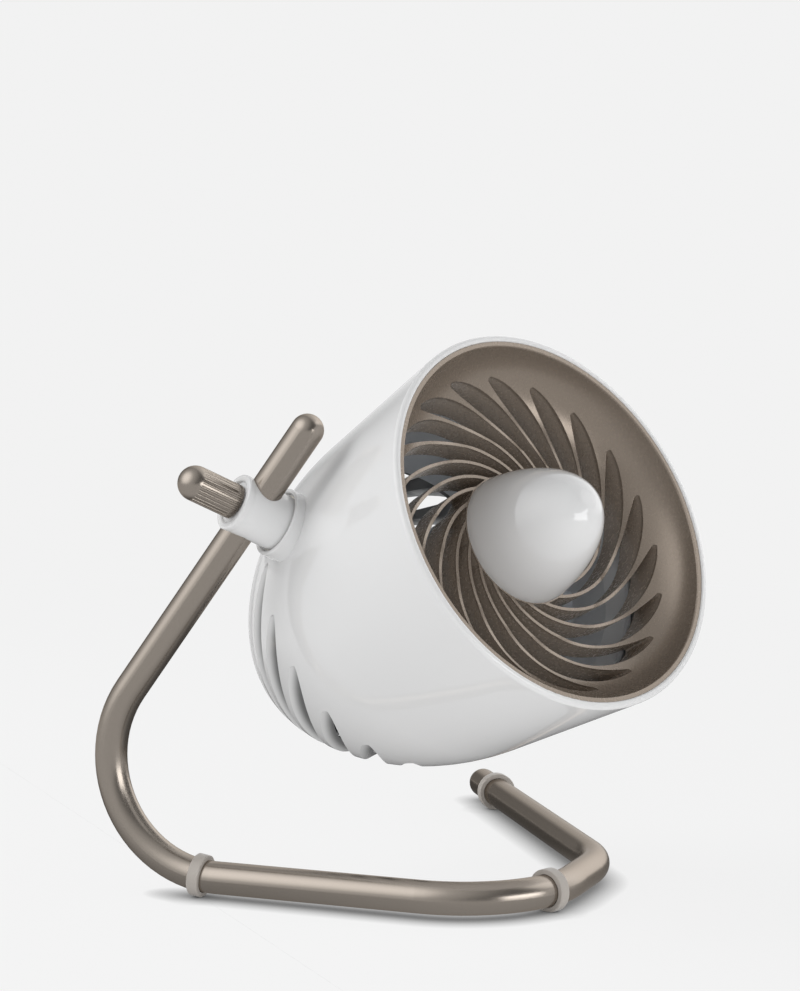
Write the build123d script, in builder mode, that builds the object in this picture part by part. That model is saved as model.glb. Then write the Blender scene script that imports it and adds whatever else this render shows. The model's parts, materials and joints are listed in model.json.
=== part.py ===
from build123d import *
import os
from math import asin, atan2, cos, degrees, pi, radians, sin, sqrt

# Small air circulator: a bowl-shaped head with a spiral grille hangs beside a bent-tube stand.
# A collar swivels round the stand's rod, and the head tilts on a hollow spindle set in the collar.
# +Z is up, the front leg of the stand runs along -Y, and the floor is at Z = 0.

os.makedirs("parts", exist_ok=True)

# ---------------------------------------------------------------- sizes, in millimetres and degrees
# stand
tube_d = 12.7
tube_wall = 1.2
bend_r = 45.0
front_leg = 219.3  # corner to corner
cross_leg = 81.3  # corner to corner
back_leg = 172.0  # corner to the centre of the domed end
back_turn = 35.6
rod_slope = 53.6
pivot_along_rod = 178.3  # corner to the pivot
rod_past_pivot = 38.6  # pivot to the centre of the domed end

# foot bands
band_width = 4.6
band_wall = 1.87
band_gap = 0.08
foot_drop = 1.4  # underside of the tube to the floor
rod_band_arc = 8.0  # from the rod bend's lower end
front_band_arc = 21.8  # from the front bend's far end
back_band_inset = 22.0  # from the centre of the domed end

# pose as photographed
swivel = 46.0  # pivot axis below the horizontal, round the rod
tilt = 33.3  # fan axis away from the rod, round the pivot axis

# head shell
lip_r = 76.0
lip_z = 79.0
lip_thick = 2.75
waist_r = 70.0
waist_z = 8.1
side_wall = 2.5
dome_r = 145.0
dome_thicken = 17.0  # the inner curve is this much tighter, so the wall grows towards the rear
rear_z = -74.0
rear_wall = 4.0
rear_round = 5.0
rod_clearance = 3.1  # lip to rod when the head is folded down beside it

# collar
knob_gap = 1.6  # knob to the recess round it
collar_wall = 2.75
recess_depth = 1.2
swivel_fit = 0.08
ring_groove_depth = 0.85
ring_offset = 6.0

# tilt pivot
spindle_r = 6.5
spindle_bore_r = 4.2
tilt_fit = 0.05
cup_wall = 1.65
cup_gap = 0.95  # collar to the cup's recess
cup_lip = 1.6  # how far the cup covers the collar's end
washer_room = 0.5  # collar's end to the bottom of the cup's recess
spring_room = 0.55  # pad to nut
nut_thick = 2.0

# knob and switch
knob_r = 6.8
knob_wall = 1.2
knob_lift = 0.6  # knob to the bottom of the collar's recess
knob_dome_at = 26.2
knob_crown = 4.5
flute_count = 26
flute_r = 0.5
switch_shaft_r = 1.5

# grille
slot_count = 19
grille_sweep = 86.0
grille_curl = 0.1  # how much tighter the spiral runs towards the middle
grille_rib = 1.3
grille_phase = 2.8
face_set_back = 0.6  # lip to bezel
bezel_width = 2.0
dish_rim = 6.25  # bezel to the tips of the slots
dish_depth = 21.4
dish_flat = 13.4  # width of the flat ring round the nose
rib_depth = 13.0
dish_floor = 2.5

# rear inlet slots
inlet_front_z = -17.0
inlet_inset = 2.6  # slots' inner ends to the rear corner
inlet_sweep = -93.0
inlet_curl = 1.0
inlet_rib = 2.1
inlet_phase = 12.9

# nose cone
nose_r = 26.05
nose_length = 39.2
nose_foot = 0.7
nose_wall = 1.8
nose_gap = 0.55  # nose to the slots' inner ends

# duct
duct_wall = 1.6
duct_back_z = -12.0
duct_gap = 0.55  # spindle's end to the duct
mouth_length = 7.4  # the duct's narrowing front end
ear_thick = 2.0
pillar_r = 2.2
pillar_length = 18.0

# motor
motor_r = 20.0
rotor_gap = 0.4
shaft_r = 2.5
post_gap = 6.5  # motor to the centres of its posts
post_height = 4.0
mount_screw_r = 1.2
grommet_neck_r = 2.4
bolt_inset = 2.5  # motor's outside to the centres of its long bolts
bolt_r = 1.25
bearing_r = 6.0
bearing_width = 4.0
bearing_fit = 0.05
pole_count = 6
pole_width = 3.2
stator_length = 18.0
coil_width = 6.0
coil_depth = 2.4
coil_overhang = 1.6

# impeller
blade_count = 5
blade_z = 9.0
blade_root = (30.0, 48.0, 2.2)  # chord, pitch angle, thickness
blade_tip = (42.0, 27.0, 1.5)
tip_gap = 1.5
impeller_hub_r = 22.0
impeller_hub_wall = 1.8
impeller_length = 48.0
impeller_gap = 14.0  # impeller to the back of the grille

# small fittings
hook_count = 4
hook_width = 6.0
hook_height = 1.8
hook_depth = 0.9
hook_room = 0.2
small_screw_r = 0.9  # the cup's and the duct's screws
nose_screw_r = 1.1
nose_boss_r = 3.2
gland_r = 4.4
gland_flange = 1.4
gland_head = 2.0
cord_bore_r = 2.6
lead_r = 1.8

# ---------------------------------------------------------------- sizes that follow
lean = atan2(lip_r - waist_r, lip_z - waist_z)
slope = (lip_r - waist_r) / (lip_z - waist_z)
dome_inner_r = dome_r - dome_thicken
dome_centre = (waist_r - dome_r * cos(lean), waist_z + dome_r * sin(lean))
inner_waist_r = waist_r - side_wall / cos(lean)
inner_centre = (inner_waist_r - dome_inner_r * cos(lean), waist_z + dome_inner_r * sin(lean))
rear_inner_z = rear_z + rear_wall
lip_inner_r = lip_r - lip_thick


def dome_at(height, centre, radius):
    """Radius of the shell's rear curve at a height along the fan axis."""
    return centre[0] + sqrt(radius**2 - (height - centre[1]) ** 2)


def wall_at(height):
    """Inner radius of the shell's straight side."""
    return inner_waist_r + (height - waist_z) * slope


tube_r = tube_d / 2
ring_groove_r = tube_r + ring_groove_depth
socket_at = ring_groove_r + 0.8
collar_out = recess_depth + tube_r + 1.45
collar_in = socket_at + 4.4
recess_r = knob_r + knob_gap
collar_r = recess_r + collar_wall
collar_lip_r = collar_r + 0.15
cup_recess_r = collar_r + cup_gap
cup_r = cup_recess_r + cup_wall
nut_flats = 2 * spindle_r + 3.0
spigot_r = spindle_r + 2.5
cup_screw_circle_r = spigot_r + 2.8

nut_corner_r = nut_flats / 2 / cos(radians(30))
pad_depth = dome_at(-nut_corner_r, inner_centre, dome_inner_r) + 0.15
duct_r = pad_depth - spring_room - nut_thick - 0.2 - duct_gap - duct_wall
grille_face_z = lip_z - face_set_back
dish_z = grille_face_z - dish_depth
grille_back_z = dish_z - rib_depth
bezel_r = lip_inner_r - bezel_width
grille_tip_r = bezel_r - dish_rim
grille_hub_r = nose_r + nose_gap
nose_z = dish_z + nose_foot
nose_screw_circle_r = nose_r - 6.55
inlet_tip_r = dome_at(inlet_front_z, dome_centre, dome_r)
inlet_hub_r = dome_at(rear_z, dome_centre, dome_r) - inlet_inset
duct_front_z = grille_back_z + 2.0
mouth_r = grille_tip_r - 1.2
ear_z = duct_front_z - ear_thick
pillar_circle_r = wall_at(ear_z) - pillar_r
post_circle_r = motor_r + post_gap
bolt_circle_r = motor_r - bolt_inset
stator_bore_r = 0.53 * motor_r
impeller_front_z = grille_back_z - impeller_gap
impeller_back_z = impeller_front_z - impeller_length
gland_inner_z = rear_inner_z + 2.5
seat_z = lip_z - 3.0
seat_r = wall_at(seat_z)
hook_z = seat_z - 3.0

# ---------------------------------------------------------------- places
tube_z = tube_r + foot_drop
rod_turn = 180 - rod_slope
rod_tangent = bend_r * sin(radians(rod_turn / 2)) / cos(radians(rod_turn / 2))
band_back = rod_tangent - bend_r * sin(radians(rod_band_arc))
corner_rod = Vector(0, band_back, tube_z)
corner_front = corner_rod - Vector(0, front_leg, 0)
corner_back = corner_front + Vector(cross_leg, 0, 0)
back_dir = Vector(cos(radians(back_turn)), sin(radians(back_turn)), 0)
rod_dir = Vector(0, -cos(radians(rod_slope)), sin(radians(rod_slope)))

pivot = corner_rod + rod_dir * pivot_along_rod
arm = tube_r + rod_clearance + lip_r
across = Vector(1, 0, 0)
pivot_dir = across * cos(radians(swivel)) + across.cross(rod_dir) * sin(radians(swivel))
fan_dir = rod_dir * cos(radians(tilt)) + pivot_dir.cross(rod_dir) * sin(radians(tilt))
head = pivot + pivot_dir * arm

collar_end = Plane(origin=pivot, x_dir=rod_dir, z_dir=pivot_dir)
collar_side = Plane(origin=pivot, x_dir=rod_dir, z_dir=rod_dir.cross(pivot_dir))
cup_end = Plane(origin=pivot, x_dir=fan_dir, z_dir=pivot_dir)
head_front = Plane(origin=head, x_dir=pivot_dir, z_dir=fan_dir)
head_side = Plane(origin=head, x_dir=pivot_dir, z_dir=pivot_dir.cross(fan_dir))
rod_plane = Plane(origin=pivot, x_dir=pivot_dir, z_dir=rod_dir)
pivot_axis = Axis(pivot, pivot_dir)
fan_axis = Axis(head, fan_dir)


def head_rear(height):
    """Plane across the fan axis that faces the rear."""
    return Plane(origin=head + fan_dir * height, x_dir=pivot_dir, z_dir=fan_dir * -1)


def finish(build, name):
    build.part.label = name
    export_step(build.part, f"parts/{name}.step")


def turned(build_plane, axis, points):
    """Solid of revolution of a straight-sided (radius, height) profile."""
    with BuildPart() as body:
        with BuildSketch(build_plane):
            with BuildLine():
                Polyline(*points, close=True)
            make_face()
        revolve(axis=axis)
    return body.part


def spiral_slots(plane, tip_r, inner_r, sweep, curl, rib, phase):
    """Evenly spaced spiral slots, each closing to a claw at its outer end."""
    side = 1 if sweep > 0 else -1
    spiral = abs(radians(sweep))
    pitch = 2 * pi / slot_count
    close_from = 0.8

    def spot(radius, behind):
        angle = -side * (spiral * ((tip_r / radius) ** curl - 1) / curl + behind)
        return (radius * cos(angle), radius * sin(angle))

    def opening(radius):
        return pitch - rib / radius * sqrt(1 + (spiral * (tip_r / radius) ** curl) ** 2)

    knee_r = close_from * tip_r
    inner = [inner_r + (knee_r - inner_r) * i / 6 for i in range(7)]
    closing = [radians(a) for a in range(15, 90, 15)]
    outer = [(close_from + (1 - close_from) * sin(a)) * tip_r for a in closing]
    leading = [spot(r, 0) for r in inner + outer[1::2] + [tip_r]]
    trailing = [spot(r, opening(r)) for r in inner]
    trailing += [spot(r, opening(r) * cos(a)) for r, a in zip(outer, closing)]
    trailing += [spot(tip_r, 0)]
    with BuildSketch() as one:
        with BuildLine():
            first = Spline(*leading)
            second = Spline(*trailing)
            Line(first @ 0, second @ 0)
        make_face()
        fillet(one.vertices().sort_by_distance((tip_r, 0, 0))[0], 0.8)
    with BuildSketch(plane) as slots:
        with PolarLocations(0, slot_count, start_angle=phase):
            add(one.sketch)
    return slots.sketch


# ---------------------------------------------------------------- stand
# Back leg, cross leg, front leg and rod in one run, closed at both ends by domes.
with BuildPart() as stand_tube:
    with BuildLine() as tube_path:
        FilletPolyline(
            corner_back + back_dir * back_leg,
            corner_back,
            corner_front,
            corner_rod,
            pivot + rod_dir * rod_past_pivot,
            radius=bend_r,
        )
    run = tube_path.wires()[0]
    for radius, mode in ((tube_r, Mode.ADD), (tube_r - tube_wall, Mode.SUBTRACT)):
        with BuildSketch(Plane(origin=run @ 0, z_dir=run % 0)):
            Circle(radius)
        sweep(path=run, mode=mode)
        with Locations(run @ 0, run @ 1):
            Sphere(radius, mode=mode)
finish(stand_tube, "stand_tube")


def foot_band(name, distance):
    """Clear ring round the tube with a flat worn by the floor plane."""
    centre = run.position_at(distance, position_mode=PositionMode.LENGTH)
    along = run.tangent_at(distance, position_mode=PositionMode.LENGTH)
    with BuildPart() as band:
        with BuildSketch(Plane(origin=centre, z_dir=along)):
            Circle(tube_r + band_gap + band_wall)
            Circle(tube_r + band_gap, mode=Mode.SUBTRACT)
        extrude(amount=band_width / 2, both=True)
        chamfer(band.edges().filter_by(GeomType.CIRCLE).group_by(SortBy.RADIUS)[-1], 0.3)
        split(bisect_by=Plane.XY, keep=Keep.TOP)
    finish(band, name)


rod_arc = radians(rod_turn) * bend_r
foot_band("foot_band_bend", run.length - rod_arc - (pivot_along_rod + rod_past_pivot - rod_tangent)
          + radians(rod_band_arc) * bend_r)
back_tangent = bend_r * sin(radians(back_turn / 2)) / cos(radians(back_turn / 2))
back_bend_end = back_leg - back_tangent + radians(back_turn) * bend_r
foot_band("foot_band_front", back_bend_end + cross_leg - back_tangent - bend_r
          + radians(front_band_arc) * bend_r)
foot_band("foot_band_back", back_band_inset)

# ---------------------------------------------------------------- collar
# White barrel with the rod through its side, a recess for the knob and a socket for the spindle.
with BuildPart() as pivot_collar:
    with BuildSketch(collar_side):
        with BuildLine():
            Polyline(
                (0, -collar_out + recess_depth),
                (recess_r, -collar_out + recess_depth),
                (recess_r, -collar_out),
                (collar_lip_r, -collar_out),
                (collar_lip_r, -collar_out + 2.2),
                (collar_r, -collar_out + 3.2),
                (collar_r, collar_in),
                (0, collar_in),
                close=True,
            )
        make_face()
    revolve(axis=pivot_axis)
    lip_edges = pivot_collar.edges().filter_by(GeomType.CIRCLE).sort_by(pivot_axis)[0:2]
    fillet(lip_edges, 1.0)
    with BuildSketch(rod_plane):
        Circle(tube_r + swivel_fit)
    extrude(amount=2 * collar_r, both=True, mode=Mode.SUBTRACT)
    with BuildSketch(rod_plane.offset(ring_offset - 1), rod_plane.offset(-ring_offset - 1)):
        Circle(ring_groove_r)
    extrude(amount=2, mode=Mode.SUBTRACT)
    with BuildSketch(collar_end.offset(socket_at)):
        Circle(spindle_r)
    extrude(amount=collar_in, mode=Mode.SUBTRACT)
finish(pivot_collar, "pivot_collar")

# Two rubber rings in grooves round the rod hold the swivel where it is put.
with BuildPart() as rod_friction_rings:
    with BuildSketch(rod_plane.offset(ring_offset - 0.95), rod_plane.offset(-ring_offset - 0.95)):
        Circle(ring_groove_r - 0.02)
        Circle(tube_r + swivel_fit / 2, mode=Mode.SUBTRACT)
    extrude(amount=1.9)
finish(rod_friction_rings, "rod_friction_rings")

# ---------------------------------------------------------------- tilt pivot
cup_recess_at = collar_in + washer_room
pad_at = arm - pad_depth
washer_end = pad_at + spring_room
nut_end = washer_end + nut_thick
spindle_end = nut_end + 0.2

with BuildPart() as pivot_spindle:
    with BuildSketch(collar_end.offset(socket_at)):
        Circle(spindle_r)
        Circle(spindle_bore_r, mode=Mode.SUBTRACT)
    extrude(amount=spindle_end - socket_at)
    tip_rim = pivot_spindle.edges().filter_by(GeomType.CIRCLE).sort_by(pivot_axis)[-2:]
    chamfer(tip_rim, 0.2)
finish(pivot_spindle, "pivot_spindle")

friction_washer = turned(
    collar_side,
    pivot_axis,
    [
        (spindle_r + 0.1, collar_in),
        (cup_recess_r - 0.6, collar_in),
        (cup_recess_r - 0.6, cup_recess_at - 0.04),
        (spindle_r + 0.1, cup_recess_at - 0.04),
    ],
)
friction_washer.label = "friction_washer"
export_step(friction_washer, "parts/friction_washer.step")

# Slightly coned disc spring between the cup's spigot and the nut.
spring_washer = turned(
    collar_side,
    pivot_axis,
    [
        (spindle_r + 0.1, washer_end - 0.24),
        (spigot_r - 0.3, pad_at + 0.04),
        (spigot_r - 0.3, pad_at + 0.28),
        (spindle_r + 0.1, washer_end),
    ],
)
spring_washer.label = "spring_washer"
export_step(spring_washer, "parts/spring_washer.step")

with BuildPart() as pivot_nut:
    with BuildSketch(collar_end.offset(washer_end)):
        RegularPolygon(nut_flats / 2, 6, major_radius=False)
        Circle(spindle_r, mode=Mode.SUBTRACT)
    extrude(amount=nut_thick)
finish(pivot_nut, "pivot_nut")

# ---------------------------------------------------------------- switch and knob
switch_base = -collar_out + recess_depth
knob_in = switch_base - knob_lift
switch_r = knob_r - knob_wall - 0.5
switch_length = knob_dome_at - knob_crown + switch_base - 4.4
shaft_root = switch_base - 3.0
shaft_tip = -knob_dome_at - 1.8

with BuildPart() as speed_switch:
    with BuildSketch(collar_end.offset(switch_base)):
        Circle(switch_r)
    extrude(amount=-switch_length)
    switch_rim = speed_switch.edges().filter_by(GeomType.CIRCLE).sort_by(pivot_axis)[0]
    chamfer(switch_rim, 0.6)
    with BuildSketch(collar_end.offset(shaft_root)):
        Circle(switch_shaft_r + 0.05)
    extrude(amount=-switch_length, mode=Mode.SUBTRACT)
finish(speed_switch, "speed_switch")

with BuildPart() as switch_shaft:
    with BuildSketch(collar_end.offset(shaft_root - 0.1)):
        Circle(switch_shaft_r)
    extrude(amount=shaft_tip - shaft_root + 0.1)
finish(switch_shaft, "switch_shaft")

# Hollow knob with a domed end and fine straight flutes.
with BuildPart() as control_knob:
    with BuildSketch(collar_side):
        with BuildLine():
            Polyline(
                (0, -knob_dome_at - knob_r),
                (0, -knob_dome_at + knob_crown),
                (knob_r - knob_wall, -knob_dome_at + knob_crown),
                (knob_r - knob_wall, knob_in),
                (knob_r, knob_in),
                (knob_r, -knob_dome_at),
            )
            CenterArc((0, -knob_dome_at), knob_r, 270, 90)
        make_face()
    revolve(axis=pivot_axis)
    with BuildSketch(collar_end.offset(knob_in)):
        with PolarLocations(knob_r + 0.15, flute_count):
            Circle(flute_r)
    extrude(amount=-(knob_dome_at + knob_in), mode=Mode.SUBTRACT)
    with BuildSketch(collar_end.offset(shaft_tip)):
        Circle(switch_shaft_r)
    extrude(amount=knob_dome_at, mode=Mode.SUBTRACT)
finish(control_knob, "control_knob")

# ---------------------------------------------------------------- housing
def drop_angle(height, centre, radius):
    return degrees(asin((height - centre[1]) / radius))


with BuildPart() as shell_form:
    with BuildSketch(head_side):
        with BuildLine():
            low = drop_angle(rear_z, dome_centre, dome_r)
            rear_curve = CenterArc(dome_centre, dome_r, low, -degrees(lean) - low)
            Polyline(rear_curve @ 1, (lip_r, lip_z), (0, lip_z), (0, rear_z), rear_curve @ 0)
        make_face()
    revolve(axis=fan_axis)

post_z = rear_inner_z + post_height
gland_angle = 270
inlet_slots = spiral_slots(
    head_front.offset(rear_z - 1), inlet_tip_r, inlet_hub_r, inlet_sweep, inlet_curl, inlet_rib, inlet_phase
)
with BuildPart() as pivot_pad:
    with BuildSketch(cup_end.offset(pad_at)):
        Circle(cup_r)
    extrude(amount=-6.0)
    add(shell_form.part, mode=Mode.INTERSECT)
with BuildPart() as housing:
    with BuildSketch(head_side):
        with BuildLine():
            low = drop_angle(rear_z, dome_centre, dome_r)
            outer_curve = CenterArc(dome_centre, dome_r, low, -degrees(lean) - low)
            low_in = drop_angle(rear_inner_z, inner_centre, dome_inner_r)
            inner_curve = CenterArc(inner_centre, dome_inner_r, low_in, -degrees(lean) - low_in)
            Polyline(outer_curve @ 1, (lip_r, lip_z), (lip_inner_r, lip_z), (lip_inner_r, seat_z),
                     inner_curve @ 1)
            Polyline(inner_curve @ 0, (0, rear_inner_z), (0, rear_z), outer_curve @ 0)
        make_face()
        fillet(vertices().sort_by_distance((lip_r, lip_z, 0))[0], 1.6)
        fillet(vertices().sort_by_distance((lip_inner_r, lip_z, 0))[0], 0.6)
        fillet(vertices().sort_by_distance(outer_curve @ 0)[0], rear_round)
    revolve(axis=fan_axis)
    # spiral inlet slots in the rear dome
    extrude(inlet_slots, amount=inlet_front_z - rear_z + 1, mode=Mode.SUBTRACT)
    # flat pad inside the wall, behind the pivot
    add(pivot_pad.part)
    with BuildSketch(cup_end.offset(pad_at)):
        Circle(spigot_r + 1.4)
    extrude(amount=3.0, mode=Mode.SUBTRACT)
    with BuildSketch(cup_end.offset(cup_recess_at)):
        Circle(spigot_r)
        with PolarLocations(cup_screw_circle_r, 2, start_angle=90):
            Circle(small_screw_r + 0.4)
    extrude(amount=10.0, mode=Mode.SUBTRACT)
    # pillars for the duct's screws, tied to the wall by webs
    with BuildSketch(head_front.offset(ear_z)):
        with PolarLocations(pillar_circle_r, 4, start_angle=45):
            Circle(pillar_r)
            with Locations((pillar_r / 2, 0)):
                Rectangle(pillar_r, 3.0)
    extrude(amount=-pillar_length)
    with BuildSketch(head_front.offset(ear_z)):
        with PolarLocations(pillar_circle_r, 4, start_angle=45):
            Circle(small_screw_r)
    extrude(amount=-8.0, mode=Mode.SUBTRACT)
    # posts for the motor's mount
    with BuildSketch(head_front.offset(rear_inner_z)):
        with PolarLocations(post_circle_r, 3, start_angle=90):
            Circle(mount_screw_r + 1.8)
    extrude(amount=post_height)
    with BuildSketch(head_front.offset(rear_inner_z)):
        with PolarLocations(post_circle_r, 3, start_angle=90):
            Circle(mount_screw_r)
    extrude(amount=post_height, mode=Mode.SUBTRACT)
    # hole for the cord's gland
    with BuildSketch(head_front.offset(rear_z)):
        with PolarLocations(post_circle_r, 1, start_angle=gland_angle):
            Circle(gland_r)
    extrude(amount=rear_wall, mode=Mode.SUBTRACT)
    # pockets for the grille's hooks
    with Locations(head_front.offset(hook_z).location):
        with PolarLocations(seat_r, hook_count):
            Box(
                2 * hook_depth,
                hook_width + 2 * hook_room,
                hook_height + 2 * hook_room,
                mode=Mode.SUBTRACT,
            )
finish(housing, "housing")

# ---------------------------------------------------------------- cup
# White ring that takes the collar's end, cut to sit on the shell.
with BuildPart() as pivot_cup:
    with BuildSketch(cup_end.offset(collar_in - cup_lip)):
        Circle(cup_r)
    extrude(amount=10.0)
    add(shell_form.part, mode=Mode.SUBTRACT)
    with BuildSketch(cup_end.offset(collar_in - cup_lip)):
        Circle(cup_recess_r)
    extrude(amount=cup_recess_at - collar_in + cup_lip, mode=Mode.SUBTRACT)
    fillet(pivot_cup.edges().filter_by(GeomType.CIRCLE).sort_by(pivot_axis)[0:2], 0.7)
    with BuildSketch(cup_end.offset(cup_recess_at)):
        Circle(spigot_r)
    extrude(amount=pad_at - cup_recess_at)
    with BuildSketch(cup_end.offset(cup_recess_at)):
        Circle(spindle_r + tilt_fit)
    extrude(amount=pad_at, mode=Mode.SUBTRACT)
    with BuildSketch(cup_end.offset(cup_recess_at + 1.2)):
        with PolarLocations(cup_screw_circle_r, 2, start_angle=90):
            Circle(small_screw_r)
    extrude(amount=10.0, mode=Mode.SUBTRACT)
finish(pivot_cup, "pivot_cup")


def screws(name, plane, circle_r, count, start, shank_r, length):
    """Pan-head screws on a circle: heads above the plane, shanks below it."""
    head_r = 1.3 * shank_r + 0.6
    head_height = 0.7 * shank_r + 0.6
    with BuildPart() as body:
        with BuildSketch(plane):
            with PolarLocations(circle_r, count, start_angle=start):
                Circle(head_r)
        extrude(amount=head_height)
        rims = body.edges().filter_by(GeomType.CIRCLE).group_by(Axis(plane.origin, plane.z_dir))[-1]
        fillet(rims, head_height * 0.45)
        with BuildSketch(plane.offset(head_height)):
            with PolarLocations(circle_r, count, start_angle=start):
                Rectangle(head_r, 0.6)
                Rectangle(0.6, head_r)
        extrude(amount=-head_height * 0.5, mode=Mode.SUBTRACT)
        with BuildSketch(plane):
            with PolarLocations(circle_r, count, start_angle=start):
                Circle(shank_r)
        extrude(amount=-length)
    finish(body, name)


cup_screw_length = pad_at - cup_recess_at - 1.5
screws("cup_screws", cup_end.offset(pad_at), cup_screw_circle_r, 2, 90, small_screw_r, cup_screw_length)

# ---------------------------------------------------------------- grille
# Bezel, concave dish and spiral ribs in one piece, held in the lip by four hooks.
grille_back = head_front.offset(grille_back_z - 1)
grille_slots = spiral_slots(
    grille_back, grille_tip_r, grille_hub_r, grille_sweep, grille_curl, grille_rib, grille_phase
)
skirt_z = hook_z - hook_height / 2
dish_flat_r = grille_hub_r + dish_flat
skirt_r = wall_at(skirt_z) - 0.15
with BuildPart() as front_grille:
    with BuildSketch(head_side):
        with BuildLine():
            ThreePointArc(
                (dish_flat_r, dish_z),
                (grille_tip_r - 0.2, dish_z + 0.365 * dish_depth),
                (bezel_r, grille_face_z - 0.5),
            )
            Polyline(
                (bezel_r, grille_face_z - 0.5),
                (bezel_r + 0.3, grille_face_z),
                (lip_inner_r - 0.05, grille_face_z),
                (lip_inner_r - 0.05, seat_z + 0.2),
                (skirt_r, skirt_z),
                (skirt_r - 1.4, skirt_z),
                (grille_tip_r + 1.9, dish_z + 5),
                (grille_tip_r + 1.9, grille_back_z + 5),
                (grille_hub_r + 1, grille_back_z),
                (grille_hub_r - 2, grille_back_z),
                (grille_hub_r - 2, dish_z - dish_floor),
                (0, dish_z - dish_floor),
                (0, dish_z),
                (dish_flat_r, dish_z),
            )
        make_face()
    revolve(axis=fan_axis)
    extrude(grille_slots, amount=grille_face_z - grille_back_z + 2, mode=Mode.SUBTRACT)
    with BuildSketch(head_front.offset(dish_z)):
        with PolarLocations(nose_screw_circle_r, 3):
            Circle(nose_screw_r + 0.3)
    extrude(amount=-3.0, mode=Mode.SUBTRACT)
    with Locations(head_front.offset(hook_z).location):
        with PolarLocations(seat_r - 0.7, hook_count):
            Box(2 * hook_depth - 0.2, hook_width, hook_height)
finish(front_grille, "front_grille")

# ---------------------------------------------------------------- nose cone


def nose_points(base_r, base_z, length):
    """Half outline of the blunt cone, from its base to its tip."""
    shares = [0.12 * i for i in range(8)] + [0.9, 0.95, 0.98, 1.0]
    return [(base_r * (1 - u**1.4) ** 0.45, base_z + length * u) for u in shares]


nose_base = dish_z + 0.05
with BuildPart() as nose_cone:
    with BuildSketch(head_side):
        with BuildLine():
            skin = Spline(*nose_points(nose_r, nose_z, nose_length), tangents=((0, 1), (-1, 0)))
            lining = Spline(
                *nose_points(nose_r - nose_wall, nose_z, nose_length - nose_wall),
                tangents=((0, 1), (-1, 0)),
            )
            Polyline(skin @ 0, (nose_r, nose_base), (nose_r - nose_wall, nose_base), lining @ 0)
            Line(skin @ 1, lining @ 1)
        make_face()
    revolve(axis=fan_axis)
    with BuildSketch(head_front.offset(nose_base)):
        with PolarLocations(nose_screw_circle_r, 3):
            Circle(nose_boss_r)
    extrude(amount=14.0)
    with BuildSketch(head_front.offset(nose_base)):
        with PolarLocations(nose_screw_circle_r, 3):
            Circle(nose_screw_r)
    extrude(amount=9.0, mode=Mode.SUBTRACT)
finish(nose_cone, "nose_cone")

screws("nose_screws", head_rear(dish_z - dish_floor), nose_screw_circle_r, 3, 0, nose_screw_r, 8.0)

# ---------------------------------------------------------------- duct
with BuildPart() as inner_duct:
    with BuildSketch(head_side):
        with BuildLine():
            Polyline(
                (duct_r, duct_back_z),
                (duct_r + duct_wall, duct_back_z),
                (duct_r + duct_wall, ear_z - mouth_length - 0.6),
                (mouth_r + duct_wall, ear_z),
                (mouth_r + duct_wall, duct_front_z),
                (mouth_r, duct_front_z),
                (mouth_r, ear_z + 0.4),
                (duct_r, ear_z - mouth_length),
                close=True,
            )
        make_face()
    revolve(axis=fan_axis)
    with BuildSketch(head_front.offset(ear_z)):
        with PolarLocations((mouth_r + duct_wall / 2 + pillar_circle_r) / 2, 4, start_angle=45):
            Rectangle(pillar_circle_r - mouth_r - duct_wall / 2, 5.0)
        with PolarLocations(pillar_circle_r, 4, start_angle=45):
            Circle(pillar_r - 0.3)
    extrude(amount=ear_thick)
    with BuildSketch(head_front.offset(duct_front_z)):
        with PolarLocations(pillar_circle_r, 4, start_angle=45):
            Circle(small_screw_r)
    extrude(amount=-ear_thick - 1.0, mode=Mode.SUBTRACT)
finish(inner_duct, "inner_duct")

screws("duct_screws", head_front.offset(duct_front_z), pillar_circle_r, 4, 45, small_screw_r, 9.0)

# ---------------------------------------------------------------- motor
plate_z = post_z + 1.0
plate_thick = 1.5
cover_z = plate_z + plate_thick
grommet_top = cover_z + 1.0
stator_z = cover_z + bearing_width + 3.0
front_cover_z = stator_z + stator_length + bearing_width + 1.0

with BuildPart() as motor_mount:
    with BuildSketch(head_front.offset(plate_z)):
        Circle(motor_r)
        with PolarLocations(post_circle_r / 2, 3, start_angle=90):
            Rectangle(post_circle_r, 10.0)
        with PolarLocations(post_circle_r, 3, start_angle=90):
            Circle(5.0)
            Circle(grommet_neck_r, mode=Mode.SUBTRACT)
        with PolarLocations(bolt_circle_r, 4, start_angle=45):
            Circle(bolt_r, mode=Mode.SUBTRACT)
    extrude(amount=plate_thick)
finish(motor_mount, "motor_mount")

with BuildPart() as mount_grommets:
    with BuildSketch(head_front.offset(post_z)):
        with PolarLocations(post_circle_r, 3, start_angle=90):
            Circle(grommet_neck_r)
    extrude(amount=grommet_top - post_z)
    for z in (post_z, cover_z):
        with BuildSketch(head_front.offset(z)):
            with PolarLocations(post_circle_r, 3, start_angle=90):
                Circle(grommet_neck_r + 0.8)
        extrude(amount=1.0)
    with BuildSketch(head_front.offset(post_z)):
        with PolarLocations(post_circle_r, 3, start_angle=90):
            Circle(mount_screw_r)
    extrude(amount=grommet_top - post_z, mode=Mode.SUBTRACT)
finish(mount_grommets, "mount_grommets")

mount_screw_length = grommet_top - post_z + 3.5
screws("mount_screws", head_front.offset(grommet_top), post_circle_r, 3, 90, mount_screw_r,
       mount_screw_length)


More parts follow.
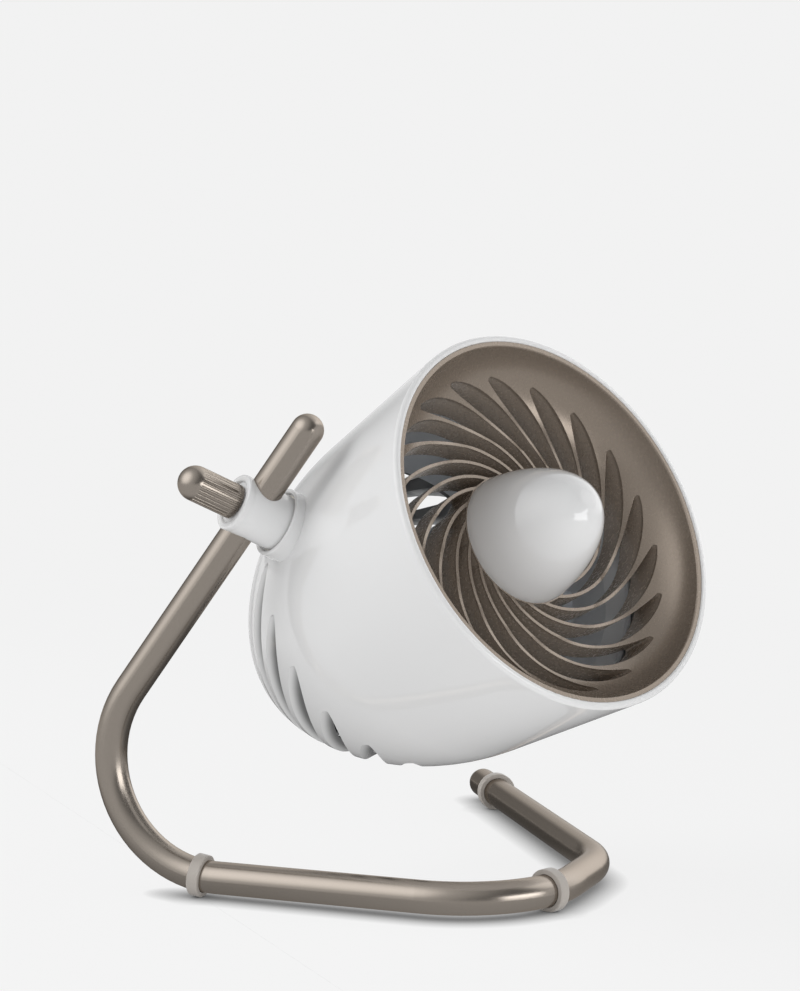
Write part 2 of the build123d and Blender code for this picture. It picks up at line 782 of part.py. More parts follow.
def motor_cover(name, plane, depth):
    """Round cover with a bearing seat on its axis and holes for the long bolts."""
    with BuildPart() as cover:
        with BuildSketch(plane):
            Circle(motor_r)
        extrude(amount=depth)
        with BuildSketch(plane.offset(1.4)):
            Circle(motor_r - 1.4)
            Circle(bearing_r + 1.4, mode=Mode.SUBTRACT)
        extrude(amount=depth, mode=Mode.SUBTRACT)
        with BuildSketch(plane.offset(1.0)):
            Circle(bearing_r)
        extrude(amount=depth, mode=Mode.SUBTRACT)
        with BuildSketch(plane.offset(bearing_width + 1.0)):
            Circle(motor_r - 2)
        extrude(amount=depth, mode=Mode.SUBTRACT)
        with BuildSketch(plane):
            Circle(shaft_r + 0.8)
        extrude(amount=2.0, mode=Mode.SUBTRACT)
        with BuildSketch(plane.offset(1.2)):
            with PolarLocations(bolt_circle_r, 4, start_angle=45):
                Circle(2.3)
        extrude(amount=depth - 1.2)
        with BuildSketch(plane):
            with PolarLocations(bolt_circle_r, 4, start_angle=45):
                Circle(bolt_r)
        extrude(amount=depth, mode=Mode.SUBTRACT)
        if name == "motor_rear_cover":
            with BuildSketch(Plane(origin=lead_entry, z_dir=lead_in)):
                Circle(lead_r)
            extrude(amount=3.0, both=True, mode=Mode.SUBTRACT)
    finish(cover, name)


gland_out = head_front.x_dir * cos(radians(gland_angle)) + head_front.y_dir * sin(radians(gland_angle))
lead_entry = head + gland_out * motor_r + fan_dir * (cover_z + 4.0)
lead_in = gland_out * -1
lead_start = head + gland_out * post_circle_r + fan_dir * gland_inner_z
motor_cover("motor_rear_cover", head_front.offset(cover_z), stator_z - cover_z)
front_end_z = front_cover_z + 1.0
motor_cover("motor_front_cover", head_rear(front_end_z), front_end_z - stator_z - stator_length)

with BuildPart() as stator_core:
    with BuildSketch(head_front.offset(stator_z)):
        Circle(motor_r)
        Circle(motor_r - 4.2, mode=Mode.SUBTRACT)
        with PolarLocations((stator_bore_r + motor_r) / 2 - 0.6, pole_count):
            Rectangle(motor_r - stator_bore_r - 1.2, pole_width)
        with PolarLocations(stator_bore_r + 0.9, pole_count):
            Rectangle(1.8, 6.6)
        Circle(stator_bore_r, mode=Mode.SUBTRACT)
        with PolarLocations(bolt_circle_r, 4, start_angle=45):
            Circle(bolt_r, mode=Mode.SUBTRACT)
    extrude(amount=stator_length)
finish(stator_core, "stator_core")

with BuildPart() as stator_coils:
    with BuildSketch(head_front.offset(stator_z - coil_overhang)):
        with PolarLocations(stator_bore_r + 2.0 + coil_depth / 2, pole_count):
            Rectangle(coil_depth, coil_width)
    extrude(amount=stator_length + 2 * coil_overhang)
    with BuildSketch(head_front.offset(stator_z)):
        with PolarLocations(stator_bore_r + 2.0 + coil_depth / 2, pole_count):
            Rectangle(2 * coil_depth, pole_width)
    extrude(amount=stator_length, mode=Mode.SUBTRACT)
finish(stator_coils, "stator_coils")

with BuildPart() as motor_bolts:
    with BuildSketch(head_front.offset(front_end_z)):
        with PolarLocations(bolt_circle_r, 4, start_angle=45):
            Circle(2.0)
    extrude(amount=1.3)
    with BuildSketch(head_front.offset(front_end_z)):
        with PolarLocations(bolt_circle_r, 4, start_angle=45):
            Circle(bolt_r)
    extrude(amount=plate_z - front_end_z)
finish(motor_bolts, "motor_bolts")


def bearing(name, z):
    """Plain sintered bearing pressed into its cover."""
    with BuildPart() as body:
        with BuildSketch(head_front.offset(z)):
            Circle(bearing_r)
            Circle(shaft_r + bearing_fit, mode=Mode.SUBTRACT)
        extrude(amount=bearing_width)
    finish(body, name)


bearing("rear_bearing", cover_z + 1.0)
bearing("front_bearing", front_cover_z - bearing_width)

rotor_z = stator_z + 0.5
with BuildPart() as rotor:
    with BuildSketch(head_front.offset(rotor_z)):
        Circle(stator_bore_r - rotor_gap)
        Circle(shaft_r, mode=Mode.SUBTRACT)
    extrude(amount=stator_length - 1.0)
finish(rotor, "rotor")

shaft_end = impeller_front_z + 5.0
with BuildPart() as motor_shaft:
    with BuildSketch(head_front.offset(cover_z + 0.6)):
        Circle(shaft_r)
    extrude(amount=shaft_end - cover_z - 0.6)
    chamfer(motor_shaft.edges().filter_by(GeomType.CIRCLE), 0.3)
finish(motor_shaft, "motor_shaft")

# ---------------------------------------------------------------- cord gland and lead
with BuildPart() as cord_gland:
    with BuildSketch(head_front.offset(rear_z - gland_head)):
        with PolarLocations(post_circle_r, 1, start_angle=gland_angle):
            Circle(gland_r + gland_flange)
    extrude(amount=gland_head)
    with BuildSketch(head_front.offset(rear_z)):
        with PolarLocations(post_circle_r, 1, start_angle=gland_angle):
            Circle(gland_r)
    extrude(amount=gland_inner_z - rear_z)
    with BuildSketch(head_front.offset(rear_inner_z)):
        with PolarLocations(post_circle_r, 1, start_angle=gland_angle):
            Circle(gland_r + 0.5)
    extrude(amount=gland_inner_z - rear_inner_z)
    with BuildSketch(head_front.offset(rear_z - gland_head)):
        with PolarLocations(post_circle_r, 1, start_angle=gland_angle):
            Circle(cord_bore_r)
    extrude(amount=gland_inner_z - rear_z + gland_head, mode=Mode.SUBTRACT)
finish(cord_gland, "cord_gland")

with BuildPart() as motor_lead:
    with BuildLine() as lead_path:
        FilletPolyline(
            lead_start + fan_dir * 0.2,
            lead_entry + gland_out * (post_circle_r - motor_r),
            lead_entry - gland_out * 1.2,
            radius=3.5,
        )
    with BuildSketch(Plane(origin=lead_start + fan_dir * 0.2, z_dir=fan_dir)):
        Circle(lead_r)
    sweep()
finish(motor_lead, "motor_lead")

# ---------------------------------------------------------------- impeller
# One twisted blade, drawn upright, then set round the hub.
blade_tip_r = duct_r - tip_gap


def blade_section(radius, chord, angle, thick):
    """Curved section through the blade at one radius, turned to its pitch angle."""
    turn = radians(angle)
    camber = 0.1

    def spot(along, up):
        return (along * cos(turn) - up * sin(turn), along * sin(turn) + up * cos(turn))

    with BuildSketch(Plane(origin=(radius, 0, 0), x_dir=(0, 1, 0), z_dir=(1, 0, 0))) as section:
        with BuildLine():
            for face in (1, -1):
                Spline(
                    spot(-chord / 2, 0),
                    spot(-chord / 4, camber * chord * 0.75 + face * thick / 2),
                    spot(chord / 10, camber * chord + face * thick / 2),
                    spot(chord / 2, 0),
                )
        make_face()
    return section.sketch


blade_middle = [(root + tip) / 2 for root, tip in zip(blade_root, blade_tip)]
blade_sections = [
    blade_section(impeller_hub_r - 4, *blade_root),
    blade_section((impeller_hub_r + blade_tip_r) / 2, *blade_middle),
    blade_section(blade_tip_r + 5, *blade_tip),
]
with BuildPart() as blade:
    loft(sections=blade_sections, clean=False)
with BuildPart() as impeller:
    with Locations(head_front.offset(blade_z).location):
        with PolarLocations(0, blade_count):
            add(blade.part)
    with BuildSketch(head_front.offset(impeller_back_z - 2)):
        Circle(blade_tip_r)
        Circle(impeller_hub_r - 0.6, mode=Mode.SUBTRACT)
    extrude(amount=impeller_length + 12, mode=Mode.INTERSECT)
    with BuildSketch(head_side):
        with BuildLine():
            Polyline(
                (shaft_r, 4.0),
                (6.0, 4.0),
                (7.0, impeller_front_z - 2.5),
                (impeller_hub_r - impeller_hub_wall, impeller_front_z - 6.5),
                (impeller_hub_r - impeller_hub_wall, impeller_back_z),
                (impeller_hub_r, impeller_back_z),
                (impeller_hub_r, impeller_front_z - 5.0),
                (impeller_hub_r - 5.0, impeller_front_z),
                (shaft_r, impeller_front_z),
                close=True,
            )
        make_face()
    revolve(axis=fan_axis)
finish(impeller, "impeller")

with BuildPart() as impeller_nut:
    with BuildSketch(head_front.offset(impeller_front_z)):
        RegularPolygon(4.0, 6, major_radius=False)
        Circle(shaft_r, mode=Mode.SUBTRACT)
    extrude(amount=3.2)
finish(impeller_nut, "impeller_nut")
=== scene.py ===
import json
import math
import bpy
import numpy as np
from mathutils import Matrix, Vector

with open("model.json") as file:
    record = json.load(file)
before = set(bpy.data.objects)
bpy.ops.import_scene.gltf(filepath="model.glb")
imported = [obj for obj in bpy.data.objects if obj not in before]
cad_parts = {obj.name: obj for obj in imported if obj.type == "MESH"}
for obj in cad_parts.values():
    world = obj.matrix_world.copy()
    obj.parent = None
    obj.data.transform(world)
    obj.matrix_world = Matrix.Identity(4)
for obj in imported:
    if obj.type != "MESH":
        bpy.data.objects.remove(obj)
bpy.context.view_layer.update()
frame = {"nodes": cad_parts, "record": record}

nodes = frame["nodes"]
scene = bpy.context.scene

# ------------------------------------------------------------------ stand tube
# One half-inch steel tube, bent three times and closed by domes. It is sprayed
# with a satin metallic taupe, so it carries a fine grain and broad soft highlights.


def fine_mottle_group():
    """Colour and roughness that drift a little with one noise over Object coordinates."""
    group = bpy.data.node_groups.new("fine mottle", "ShaderNodeTree")
    face = group.interface
    face.new_socket("Color", in_out="INPUT", socket_type="NodeSocketColor")
    for name, value in (("Drift", 0.05), ("Scale", 60.0), ("Roughness", 0.3), ("Spread", 0.05)):
        face.new_socket(name, in_out="INPUT", socket_type="NodeSocketFloat").default_value = value
    face.new_socket("Color", in_out="OUTPUT", socket_type="NodeSocketColor")
    face.new_socket("Roughness", in_out="OUTPUT", socket_type="NodeSocketFloat")
    make, link = group.nodes.new, group.links.new
    given, result = make("NodeGroupInput"), make("NodeGroupOutput")
    place = make("ShaderNodeTexCoord")
    cloud = make("ShaderNodeTexNoise")
    cloud.inputs["Detail"].default_value = 4.0
    link(place.outputs["Object"], cloud.inputs["Vector"])
    link(given.outputs["Scale"], cloud.inputs["Scale"])
    centred = make("ShaderNodeMath")
    centred.operation = "SUBTRACT"
    centred.inputs[1].default_value = 0.5
    link(cloud.outputs["Fac"], centred.inputs[0])
    drift = make("ShaderNodeMath")
    drift.operation = "MULTIPLY_ADD"
    drift.inputs[2].default_value = 1.0
    link(centred.outputs[0], drift.inputs[0])
    link(given.outputs["Drift"], drift.inputs[1])
    tint = make("ShaderNodeVectorMath")
    tint.operation = "SCALE"
    link(given.outputs["Color"], tint.inputs[0])
    link(drift.outputs[0], tint.inputs["Scale"])
    link(tint.outputs[0], result.inputs["Color"])
    rough = make("ShaderNodeMath")
    rough.operation = "MULTIPLY_ADD"
    link(centred.outputs[0], rough.inputs[0])
    link(given.outputs["Spread"], rough.inputs[1])
    link(given.outputs["Roughness"], rough.inputs[2])
    link(rough.outputs[0], result.inputs["Roughness"])
    return group


def fine_grain_group():
    """Height of a fine even grain over Object coordinates, for a Bump node."""
    group = bpy.data.node_groups.new("fine grain", "ShaderNodeTree")
    face = group.interface
    face.new_socket("Scale", in_out="INPUT", socket_type="NodeSocketFloat").default_value = 1500.0
    face.new_socket("Depth", in_out="INPUT", socket_type="NodeSocketFloat").default_value = 0.5
    face.new_socket("Height", in_out="OUTPUT", socket_type="NodeSocketFloat")
    make, link = group.nodes.new, group.links.new
    given, result = make("NodeGroupInput"), make("NodeGroupOutput")
    place = make("ShaderNodeTexCoord")
    grain = make("ShaderNodeTexNoise")
    grain.inputs["Detail"].default_value = 2.0
    link(place.outputs["Object"], grain.inputs["Vector"])
    link(given.outputs["Scale"], grain.inputs["Scale"])
    deep = make("ShaderNodeMath")
    deep.operation = "MULTIPLY"
    link(grain.outputs["Fac"], deep.inputs[0])
    link(given.outputs["Depth"], deep.inputs[1])
    link(deep.outputs[0], result.inputs["Height"])
    return group


fine_mottle = fine_mottle_group()
fine_grain = fine_grain_group()


def moulded(name, colour, roughness, metallic=0.0, drift=0.05, spread=0.05, scale=60.0,
            grain=1500.0, depth=0.3, bump_strength=0.2, coat=0.0, coat_roughness=0.05):
    """A material whose colour and roughness drift slightly and whose skin has a fine grain."""
    material = bpy.data.materials.new(name)
    material.use_nodes = True
    tree = material.node_tree
    shader = tree.nodes["Principled BSDF"]
    mottle = tree.nodes.new("ShaderNodeGroup")
    mottle.node_tree = fine_mottle
    mottle.inputs["Color"].default_value = (*colour, 1.0)
    mottle.inputs["Drift"].default_value = drift
    mottle.inputs["Scale"].default_value = scale
    mottle.inputs["Roughness"].default_value = roughness
    mottle.inputs["Spread"].default_value = spread
    tree.links.new(mottle.outputs["Color"], shader.inputs["Base Color"])
    tree.links.new(mottle.outputs["Roughness"], shader.inputs["Roughness"])
    skin = tree.nodes.new("ShaderNodeGroup")
    skin.node_tree = fine_grain
    skin.inputs["Scale"].default_value = grain
    skin.inputs["Depth"].default_value = depth
    bump = tree.nodes.new("ShaderNodeBump")
    bump.inputs["Strength"].default_value = bump_strength
    bump.inputs["Distance"].default_value = 0.00002
    tree.links.new(skin.outputs["Height"], bump.inputs["Height"])
    tree.links.new(bump.outputs["Normal"], shader.inputs["Normal"])
    shader.inputs["Metallic"].default_value = metallic
    shader.inputs["Coat Weight"].default_value = coat
    shader.inputs["Coat Roughness"].default_value = coat_roughness
    return material


def dress(material, *names):
    """Gives CAD nodes a material."""
    for name in names:
        slots = nodes[name].data.materials
        slots.clear()
        slots.append(material)


taupe_metal = moulded(
    "taupe metal", (0.37, 0.328, 0.287), 0.24, metallic=1.0, drift=0.08, spread=0.05, scale=900.0,
    grain=2600.0, depth=0.5, bump_strength=0.2)
metal_shader = taupe_metal.node_tree.nodes["Principled BSDF"]
metal_shader.inputs["Specular Tint"].default_value = (0.70, 0.66, 0.62, 1.0)
dress(taupe_metal, "stand_tube")

# ------------------------------------------------------------------ foot bands
# Three clear, slightly frosted plastic rings pushed along the tube. Each has a flat
# underneath and keeps the metal off the table.
frosted = moulded(
    "frosted band", (0.50, 0.46, 0.42), 0.30, drift=0.04, spread=0.08, scale=200.0, grain=1200.0,
    depth=0.3)
band_shader = frosted.node_tree.nodes["Principled BSDF"]
band_shader.inputs["Transmission Weight"].default_value = 0.12
band_shader.inputs["IOR"].default_value = 1.46
dress(frosted, "foot_band_bend", "foot_band_front", "foot_band_back")

# ------------------------------------------------------------------ collar and cup
# White gloss mouldings: the barrel that the rod passes through and the ring on the
# shell that takes its end. Both are injection moulded and polished.
white_gloss = moulded(
    "white gloss", (0.77, 0.77, 0.77), 0.07, drift=0.02, spread=0.03, scale=25.0, grain=350.0,
    depth=0.2, coat=0.3, coat_roughness=0.03)
dress(white_gloss, "pivot_collar", "pivot_cup")

# ------------------------------------------------------------------ knob and switch
# The fluted knob has the stand's metallic finish. A rotary switch sits inside it,
# on a steel shaft.
dress(taupe_metal, "control_knob")
dark_plastic = moulded("dark plastic", (0.035, 0.035, 0.035), 0.5)
dress(dark_plastic, "speed_switch", "motor_lead")
zinc_steel = moulded("zinc steel", (0.55, 0.56, 0.57), 0.34, metallic=1.0, drift=0.12, scale=300.0)
dress(zinc_steel, "switch_shaft", "pivot_spindle", "spring_washer", "pivot_nut")
natural_nylon = moulded("natural nylon", (0.72, 0.69, 0.62), 0.45)
dress(natural_nylon, "friction_washer")
rubber = moulded("black rubber", (0.022, 0.022, 0.023), 0.72, depth=0.6)
dress(rubber, "rod_friction_rings", "mount_grommets", "cord_gland")

# ------------------------------------------------------------------ shell
# The bowl is one thick white moulding with a rounded lip and spiral inlet slots
# round its rear dome. It has the same polish as the collar.
joints = frame["record"]["behaviour"]["joints"]
spin = next(joint for joint in joints if joint["name"] == "impeller_spin")
head_centre, fan_dir = Vector(spin["pos_m"]), Vector(spin["axis"])
dome_r, dome_centre_r, dome_centre_z = 0.145, -0.0745, 0.0203
hub_face_z = -0.0740
skin_depth, full_depth = 0.0003, 0.0030
# Painted shade: the shell's inner faces, deeper than the skin and off the rear hub face, are tinted
# dark grey for the shade inside the bowl.
inner_painted_shade = (0.17, 0.17, 0.17, 1.0)


def head_place_group():
    """Distance from the fan axis, and height along it from the head's centre."""
    group = bpy.data.node_groups.new("head place", "ShaderNodeTree")
    for name in ("Radius", "Height"):
        group.interface.new_socket(name, in_out="OUTPUT", socket_type="NodeSocketFloat")
    make, link = group.nodes.new, group.links.new
    result, place = make("NodeGroupOutput"), make("ShaderNodeTexCoord")
    offset, along, cross, span = [make("ShaderNodeVectorMath") for _ in range(4)]
    offset.operation = "SUBTRACT"
    offset.inputs[1].default_value = head_centre
    link(place.outputs["Object"], offset.inputs[0])
    along.operation = "DOT_PRODUCT"
    cross.operation = "CROSS_PRODUCT"
    for maths in (along, cross):
        maths.inputs[1].default_value = fan_dir
        link(offset.outputs[0], maths.inputs[0])
    span.operation = "LENGTH"
    link(cross.outputs[0], span.inputs[0])
    link(along.outputs["Value"], result.inputs["Height"])
    link(span.outputs["Value"], result.inputs["Radius"])
    return group


head_place = head_place_group()


def calculate(tree, operation, first, second):
    """A Math node's output; its inputs are sockets or numbers."""
    maths = tree.nodes.new("ShaderNodeMath")
    maths.operation = operation
    for socket, value in zip(maths.inputs, (first, second)):
        if isinstance(value, float):
            socket.default_value = value
        else:
            tree.links.new(value, socket)
    return maths.outputs[0]


def smooth_step(tree, value, low, high, start, end):
    """Goes smoothly from start to end as the value goes from low to high."""
    step = tree.nodes.new("ShaderNodeMapRange")
    step.interpolation_type = "SMOOTHSTEP"
    for name, number in (("From Min", low), ("From Max", high), ("To Min", start), ("To Max", end)):
        step.inputs[name].default_value = number
    tree.links.new(value, step.inputs["Value"])
    return step.outputs["Result"]


def tint_by(material, factor, colour):
    """Mixes a second colour into a material's own by a factor socket of its tree."""
    tree = material.node_tree
    mix = tree.nodes.new("ShaderNodeMix")
    mix.data_type = "RGBA"
    own = tree.nodes["Principled BSDF"].inputs["Base Color"].links[0].from_socket
    tree.links.new(own, mix.inputs["A"])
    mix.inputs["B"].default_value = colour
    tree.links.new(factor, mix.inputs["Factor"])
    tree.links.new(mix.outputs["Result"], tree.nodes["Principled BSDF"].inputs["Base Color"])


shell_white = white_gloss.copy()
shell_white.name = "shell white"
tree = shell_white.node_tree
spot = tree.nodes.new("ShaderNodeGroup")
spot.node_tree = head_place
from_centre_r = calculate(tree, "SUBTRACT", spot.outputs["Radius"], dome_centre_r)
from_centre_z = calculate(tree, "SUBTRACT", spot.outputs["Height"], dome_centre_z)
squares = [calculate(tree, "MULTIPLY", value, value) for value in (from_centre_r, from_centre_z)]
reach = calculate(tree, "SQRT", calculate(tree, "ADD", *squares), 0.0)
below_skin = calculate(tree, "SUBTRACT", dome_r, reach)
inside = smooth_step(tree, below_skin, skin_depth, full_depth, 0.0, 1.0)
off_hub = smooth_step(
    tree, spot.outputs["Height"], hub_face_z + 0.0003, hub_face_z + 0.0007, 0.0, 1.0)
# Painted shade tinted into the shell's inner faces.
tint_by(shell_white, calculate(tree, "MULTIPLY", inside, off_hub), inner_painted_shade)
dress(shell_white, "housing")

# ------------------------------------------------------------------ grille
# Bezel, dish and ribs are one moulding in a satin pearl taupe plastic. The rib walls inside the
# slots carry painted light.
taupe_plastic = moulded(
    "taupe plastic", (0.285, 0.236, 0.192), 0.27, metallic=0.45, drift=0.06, spread=0.05,
    scale=700.0, grain=2200.0, depth=0.4)
dish_r, dish_height, dish_span, dish_rise, dish_power = 0.040, 0.057, 0.0313, 0.0209, 4.27
slot_end_r, slot_end_blur = 0.0650, 0.0008
rib_edge_r = 0.0003
# Painted light: rib walls below the dish face, inside the slot ends' radius, are tinted a lighter
# taupe than the dish, standing in for light reaching deep into the slots.
rib_wall_painted_light = (0.47, 0.40, 0.335, 1.0)
tree = taupe_plastic.node_tree
spot = tree.nodes.new("ShaderNodeGroup")
spot.node_tree = head_place
past_dish_r = calculate(tree, "SUBTRACT", spot.outputs["Radius"], dish_r)
outward = calculate(tree, "DIVIDE", past_dish_r, dish_span)
curve = calculate(tree, "POWER", calculate(tree, "MAXIMUM", outward, 0.0), dish_power)
dish_face = calculate(tree, "ADD", calculate(tree, "MULTIPLY", curve, dish_rise), dish_height)
below_face = calculate(tree, "SUBTRACT", dish_face, spot.outputs["Height"])
among_ribs = smooth_step(
    tree, spot.outputs["Radius"], slot_end_r, slot_end_r + slot_end_blur, 1.0, 0.0)
below_skin = smooth_step(tree, below_face, 0.0003, 0.0012, 0.0, 1.0)
# Painted light tinted into the rib walls.
tint_by(taupe_plastic, calculate(tree, "MULTIPLY", below_skin, among_ribs), rib_wall_painted_light)
rounded = tree.nodes.new("ShaderNodeBevel")
rounded.samples = 4
rounded.inputs["Radius"].default_value = rib_edge_r
tree.links.new(rounded.outputs["Normal"], tree.nodes["Bump"].inputs["Normal"])
dress(taupe_plastic, "front_grille")

# ------------------------------------------------------------------ nose cone
# A hollow bullet of white gloss plastic in the middle of the grille. It is moulded in
# one piece and held from behind by three screws.
dress(white_gloss, "nose_cone")
dress(zinc_steel, "nose_screws", "duct_screws", "cup_screws", "mount_screws")

# ------------------------------------------------------------------ impeller and duct
# Five deep blades on a cup-shaped hub, moulded in a satin blue-grey plastic, turn in
# a pale duct that is screwed inside the shell.
blade_plastic = moulded("blade plastic", (0.66, 0.70, 0.76), 0.28, drift=0.05, scale=80.0)
dress(blade_plastic, "impeller")
duct_plastic = moulded("duct plastic", (0.62, 0.64, 0.66), 0.40, drift=0.04)
dress(duct_plastic, "inner_duct")
dress(zinc_steel, "impeller_nut", "motor_shaft")

# ------------------------------------------------------------------ motor
# A small open-frame motor: stacked steel core, copper coils, pressed steel covers
# with bronze bearings, on a plate with rubber grommets.
core_steel = moulded("core steel", (0.16, 0.16, 0.17), 0.45, metallic=1.0, drift=0.2, scale=400.0)
dress(core_steel, "stator_core", "rotor")
copper_wire = moulded(
    "copper wire", (0.58, 0.24, 0.10), 0.35, metallic=1.0, drift=0.3, scale=1500.0, depth=1.0)
dress(copper_wire, "stator_coils")
bronze = moulded("bronze", (0.45, 0.30, 0.13), 0.45, metallic=1.0, drift=0.15, scale=900.0)
dress(bronze, "rear_bearing", "front_bearing")
dress(zinc_steel, "motor_mount", "motor_rear_cover", "motor_front_cover", "motor_bolts")

# ------------------------------------------------------------------ table
# A plain pale paper table that fades into the backdrop. It keeps a soft contact shadow,
# and polished pieces see it darker where the object shades it.
paper = (0.887, 0.887, 0.887, 1)
near_paper, far_paper = 0.35, 1.1
shade_middle, shade_inner_r, shade_outer_r = (0.20, 0.02, 0.0), 0.12, 0.30
contact_reach = 0.010


def table(name, half_width, height):
    """Flat square of table round the object, one face."""
    corners = np.array([(-1, -1, 0), (1, -1, 0), (1, 1, 0), (-1, 1, 0)], float) * half_width
    corners[:, 2] = height
    mesh = bpy.data.meshes.new(name)
    mesh.from_pydata(corners.tolist(), [], [(0, 1, 2, 3)])
    thing = bpy.data.objects.new(name, mesh)
    scene.collection.objects.link(thing)
    return thing


floor = table("table_top", 60.0, -0.0002)
floor_paper = bpy.data.materials.new("table paper")
floor_paper.use_nodes = True
tree = floor_paper.node_tree
tree.nodes.remove(tree.nodes["Principled BSDF"])
diffuse = tree.nodes.new("ShaderNodeBsdfDiffuse")
diffuse.inputs["Color"].default_value = paper
contact = tree.nodes.new("ShaderNodeAmbientOcclusion")
contact.inputs["Color"].default_value = paper
contact.inputs["Distance"].default_value = contact_reach
glow = tree.nodes.new("ShaderNodeEmission")
tree.links.new(contact.outputs["Color"], glow.inputs["Color"])
mirrored_floor = tree.nodes.new("ShaderNodeEmission")
mirrored_floor.inputs["Color"].default_value = paper
place = tree.nodes.new("ShaderNodeTexCoord")
from_shade = tree.nodes.new("ShaderNodeVectorMath")
from_shade.operation = "DISTANCE"
from_shade.inputs[1].default_value = shade_middle
tree.links.new(place.outputs["Object"], from_shade.inputs[0])
shade_strength = smooth_step(
    tree, from_shade.outputs["Value"], shade_inner_r, shade_outer_r, 0.15, 0.74)
tree.links.new(shade_strength, mirrored_floor.inputs["Strength"])
distance = tree.nodes.new("ShaderNodeVectorMath")
distance.operation = "LENGTH"
tree.links.new(place.outputs["Object"], distance.inputs[0])
blend = tree.nodes.new("ShaderNodeMixShader")
off_middle = distance.outputs["Value"]
blend_share = smooth_step(tree, off_middle, near_paper, far_paper, 0.89, 1.0)
glow_strength = smooth_step(tree, off_middle, near_paper, far_paper, 1.045, 1.0)
tree.links.new(blend_share, blend.inputs[0])
tree.links.new(glow_strength, glow.inputs["Strength"])
tree.links.new(diffuse.outputs[0], blend.inputs[1])
tree.links.new(glow.outputs[0], blend.inputs[2])
rays = tree.nodes.new("ShaderNodeLightPath")
gloss = tree.nodes.new("ShaderNodeMixShader")
tree.links.new(rays.outputs["Is Glossy Ray"], gloss.inputs[0])
tree.links.new(blend.outputs[0], gloss.inputs[1])
tree.links.new(mirrored_floor.outputs[0], gloss.inputs[2])
tree.links.new(gloss.outputs[0], tree.nodes["Material Output"].inputs["Surface"])
floor.data.materials.append(floor_paper)

# ------------------------------------------------------------------ room
# An even pale sky. Polished pieces see two broad glows in it, a window high on the left
# and a wall behind on the right, and the camera sees the paper's own white.
window_way, wall_way = (-0.58, 0.60, 0.55), (0.87, -0.35, 0.35)
world = bpy.data.worlds.new("pale room")
scene.world = world
world.use_nodes = True
tree = world.node_tree
room = tree.nodes["Background"]
room.inputs["Color"].default_value = (0.98, 0.99, 1.0, 1)
room.inputs["Strength"].default_value = 0.38
seen = tree.nodes.new("ShaderNodeBackground")
seen.inputs["Color"].default_value = paper
mirrored = tree.nodes.new("ShaderNodeBackground")
mirrored.inputs["Color"].default_value = paper
way = tree.nodes.new("ShaderNodeTexCoord")


def towards(direction):
    """Cosine of the angle between a ray and a direction."""
    cosine = tree.nodes.new("ShaderNodeVectorMath")
    cosine.operation = "DOT_PRODUCT"
    cosine.inputs[1].default_value = Vector(direction).normalized()
    tree.links.new(way.outputs["Generated"], cosine.inputs[0])
    return cosine.outputs["Value"]


window, wall = towards(window_way), towards(wall_way)
window_glow = calculate(tree, "ADD", smooth_step(tree, window, 0.0, 0.8, 0.20, 0.80),
                        smooth_step(tree, window, 0.70, 1.05, 0.0, 1.5))
wall_glow = calculate(tree, "ADD", smooth_step(tree, wall, 0.42, 0.70, 0.15, 1.0),
                      smooth_step(tree, wall, 0.70, 1.05, 0.0, 0.9))
tree.links.new(calculate(tree, "MAXIMUM", window_glow, wall_glow), mirrored.inputs["Strength"])
rays = tree.nodes.new("ShaderNodeLightPath")
through = tree.nodes.new("ShaderNodeMath")
through.operation = "MAXIMUM"
tree.links.new(rays.outputs["Is Camera Ray"], through.inputs[0])
tree.links.new(rays.outputs["Is Transmission Ray"], through.inputs[1])
gloss = tree.nodes.new("ShaderNodeMixShader")
tree.links.new(rays.outputs["Is Glossy Ray"], gloss.inputs[0])
tree.links.new(room.outputs[0], gloss.inputs[1])
tree.links.new(mirrored.outputs[0], gloss.inputs[2])
pick = tree.nodes.new("ShaderNodeMixShader")
tree.links.new(through.outputs[0], pick.inputs[0])
tree.links.new(gloss.outputs[0], pick.inputs[1])
tree.links.new(seen.outputs[0], pick.inputs[2])
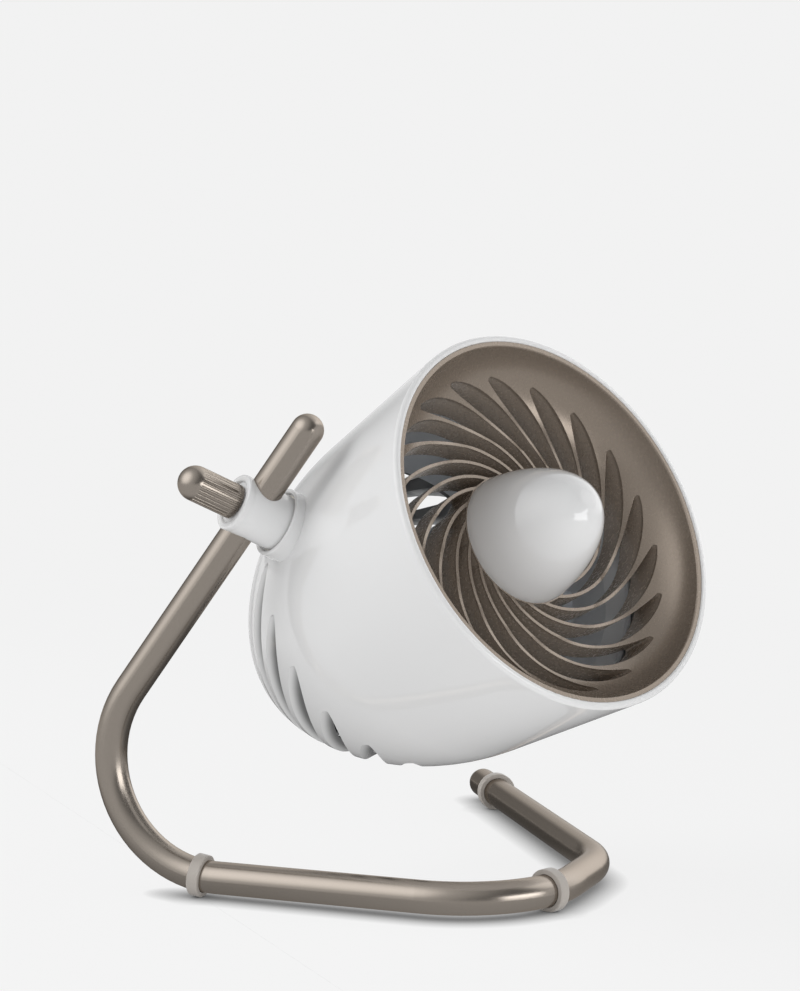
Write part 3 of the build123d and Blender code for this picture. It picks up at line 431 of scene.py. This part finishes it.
tree.links.new(pick.outputs[0], tree.nodes["World Output"].inputs["Surface"])

# ------------------------------------------------------------------ camera
# A long lens a metre away, just above the object, at the photograph's place and angle.
heading, drop = math.atan2(0.3721, 0.9282), 0.0804
forward = Vector((math.cos(heading), math.sin(heading), 0))
side = Vector((math.sin(heading), -math.cos(heading), 0))
up = Vector((0, 0, 1))
camera = bpy.data.objects.new("camera", bpy.data.cameras.new("camera"))
scene.collection.objects.link(camera)
camera.data.lens = 94.45
camera.data.sensor_width = 36.0
camera.data.clip_end = 200.0
camera_place = Vector((-0.8955, -0.4425, 0.23652))
look = forward * math.cos(drop) - up * math.sin(drop)
turned = look.to_track_quat("-Z", "Y").to_matrix().to_4x4()
camera.matrix_world = Matrix.Translation(camera_place) @ turned
scene.camera = camera

# ------------------------------------------------------------------ lamps
# Five large soft lamps stand by the camera, to its left and low right, and above it on
# both sides. Places are metres along the camera's own directions from the object's middle.
middle = Vector((0.06, -0.08, 0.11))


def soft_lamp(name, place, width, height, power, mirrored_too=False):
    """Large area lamp that faces the object; the room's glows stand for most in reflections."""
    light = bpy.data.lights.new(name, "AREA")
    light.shape = "RECTANGLE"
    light.size, light.size_y = width, height
    light.energy = power
    lamp = bpy.data.objects.new(name, light)
    scene.collection.objects.link(lamp)
    away = (middle - place).to_track_quat("-Z", "Y").to_matrix().to_4x4()
    lamp.matrix_world = Matrix.Translation(place) @ away
    lamp.visible_glossy = mirrored_too


soft_lamp("upper left", middle + forward * 0.15 - side * 1.05 + up * 0.95, 0.9, 0.9, 9.4)
soft_lamp("left", middle - forward * 0.6 - side * 1.1 + up * 0.35, 1.2, 0.8, 1.9)
soft_lamp("by the camera", middle - forward * 1.3 + side * 0.1 + up * 0.15, 1.4, 0.9, 3.4)
soft_lamp("low right", middle - forward * 0.75 + side * 0.95, 0.8, 0.5, 4.2, True)
soft_lamp("upper right", middle + forward * 0.1 + side * 1.15 + up * 0.85, 0.7, 0.7, 0.8, True)

scene.view_settings.view_transform = "Standard"
